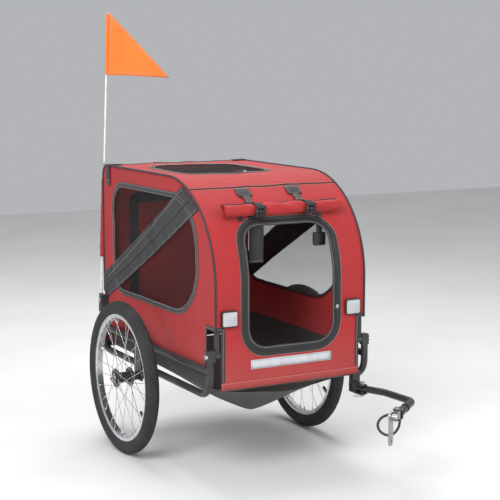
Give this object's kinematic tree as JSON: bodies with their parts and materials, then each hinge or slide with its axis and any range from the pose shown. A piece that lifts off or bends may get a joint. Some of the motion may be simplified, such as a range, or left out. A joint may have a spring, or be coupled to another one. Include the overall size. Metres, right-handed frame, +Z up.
{
  "type": "dog bike trailer",
  "caption": "Two-wheeled dog trailer for a bicycle: cloth cabin on a folding tube frame, spoked wheels, side tow arm with swivel hitch, flag.",
  "frame": {"origin": "middle of the footprint on the ground", "axes": "+X the way it is towed, +Y left, +Z up"},
  "size_m": [1.1982, 0.7746, 1.4341],
  "materials": {
    "tyre_rubber": "matte rubber",
    "alloy": "satin",
    "spoke_steel": "polished wire",
    "hub_black": "satin black",
    "bearing_steel": "ground",
    "axle_steel": "zinc plated",
    "release_red": "gloss",
    "frame_black": "powder coat",
    "knuckle_plastic": "moulded nylon",
    "cover_main": "coated polyester",
    "cover_dark": "coated polyester",
    "window_mesh": "woven mesh",
    "band_webbing": "webbing",
    "reflective_tape": "retroreflective tape",
    "buckle_plastic": "moulded",
    "reflector_lens": "prismatic",
    "hitch_steel": "zinc plated",
    "cord_nylon": "braided nylon",
    "pole_fibre": "glass fibre",
    "pennant_cloth": "nylon",
    "zinc": "zinc plated"
  },
  "bodies": {
    "frame": {"side_frame_left": "frame_black", "upper_rail_left": "frame_black", "knuckle_front_left": "knuckle_plastic", "knuckle_rear_left": "knuckle_plastic", "axle_receiver_left": "frame_black", "axle_left": "axle_steel", "cover_side_left": "cover_main", "window_mesh_left": "window_mesh", "side_frame_right": "frame_black", "upper_rail_right": "frame_black", "knuckle_front_right": "knuckle_plastic", "knuckle_rear_right": "knuckle_plastic", "axle_receiver_right": "frame_black", "axle_right": "axle_steel", "cover_side_right": "cover_main", "window_mesh_right": "window_mesh", "front_cross_bar": "frame_black", "rear_cross_bar": "frame_black", "pivot_bolts": "zinc", "cover_front": "cover_main", "cover_roof": "cover_main", "cover_rear": "cover_main", "roof_hatch_mesh": "window_mesh", "floor_sling": "cover_dark", "side_bands": "band_webbing", "reflective_strip": "reflective_tape", "tow_bracket": "frame_black", "tow_pin": "zinc", "tow_pin_clip": "zinc", "flag_socket": "buckle_plastic"},
    "front_hoop": {"front_hoop": "frame_black", "rolled_door": "cover_main", "door_straps": "band_webbing", "strap_buckles": "buckle_plastic", "reflectors": "reflector_lens"},
    "rear_hoop": {"rear_hoop": "frame_black"},
    "wheel_left": {"tyre_left": "tyre_rubber", "rim_left": "alloy", "spokes_left": "spoke_steel", "hub_left": "hub_black", "bearings_left": "bearing_steel"},
    "wheel_right": {"tyre_right": "tyre_rubber", "rim_right": "alloy", "spokes_right": "spoke_steel", "hub_right": "hub_black", "bearings_right": "bearing_steel"},
    "release_left": {"quick_release_button_left": "release_red"},
    "release_right": {"quick_release_button_right": "release_red"},
    "tow_arm": {"tow_arm": "frame_black", "hitch_clevis": "frame_black", "hitch_swivel_pin": "zinc", "safety_cord": "cord_nylon", "cord_rings": "buckle_plastic"},
    "hitch_swivel": {"hitch_swivel": "hitch_steel", "hitch_tilt_pin": "zinc"},
    "hitch_plate": {"hitch_plate": "hitch_steel"},
    "flag": {"flag_pole_lower": "pole_fibre", "flag_pole_upper": "pole_fibre", "flag_ferrule": "zinc", "pennant": "pennant_cloth"}
  },
  "joints": [
    {"name": "front_hoop_fold", "type": "hinge", "parent": "frame", "child": "front_hoop", "pos_m": [0.24106, 0, 0.405], "axis": [0, -1, 0], "range_deg": [0, 66], "deforming": ["cover_front", "cover_roof", "cover_rear", "cover_side_left", "cover_side_right", "window_mesh_left", "window_mesh_right", "roof_hatch_mesh", "side_bands"]},
    {"name": "rear_hoop_fold", "type": "hinge", "parent": "frame", "child": "rear_hoop", "pos_m": [-0.56934, 0, 0.45], "axis": [0, 1, 0], "range_deg": [0, 68.01]},
    {"name": "wheel_spin_left", "type": "hinge", "parent": "frame", "child": "wheel_left", "pos_m": [-0.24664, 0.343, 0.25], "axis": [0, 1, 0], "continuous": true},
    {"name": "release_push_left", "type": "slide", "parent": "frame", "child": "release_left", "axis": [0, -1, 0], "range_m": [0, 0.003], "stiffness_N_per_m": 300},
    {"name": "wheel_spin_right", "type": "hinge", "parent": "frame", "child": "wheel_right", "pos_m": [-0.24664, -0.343, 0.25], "axis": [0, 1, 0], "continuous": true},
    {"name": "release_push_right", "type": "slide", "parent": "frame", "child": "release_right", "axis": [0, 1, 0], "range_m": [0, 0.003], "stiffness_N_per_m": 300},
    {"name": "tow_arm_swing", "type": "hinge", "parent": "frame", "child": "tow_arm", "pos_m": [0.25836, 0.256, 0.25], "axis": [0, 0, -1], "range_deg": [0, 70]},
    {"name": "hitch_yaw", "type": "hinge", "parent": "tow_arm", "child": "hitch_swivel", "pos_m": [0.56932, 0.16948, 0.25], "axis": [0, 0, 1], "range_deg": [-60, 60]},
    {"name": "hitch_tilt", "type": "hinge", "parent": "hitch_swivel", "child": "hitch_plate", "pos_m": [0.58774, 0.1458, 0.25], "axis": [-0.7894, -0.6139, 0], "range_deg": [-15, 75]},
    {"name": "flag_lift", "type": "slide", "parent": "frame", "child": "flag", "axis": [0, 0.0401, 0.9992], "range_m": [0, 0.055]}
  ],
  "couplings": [
    {"joint": "rear_hoop_fold", "follows": "front_hoop_fold", "ratio": 1.0303}
  ]
}
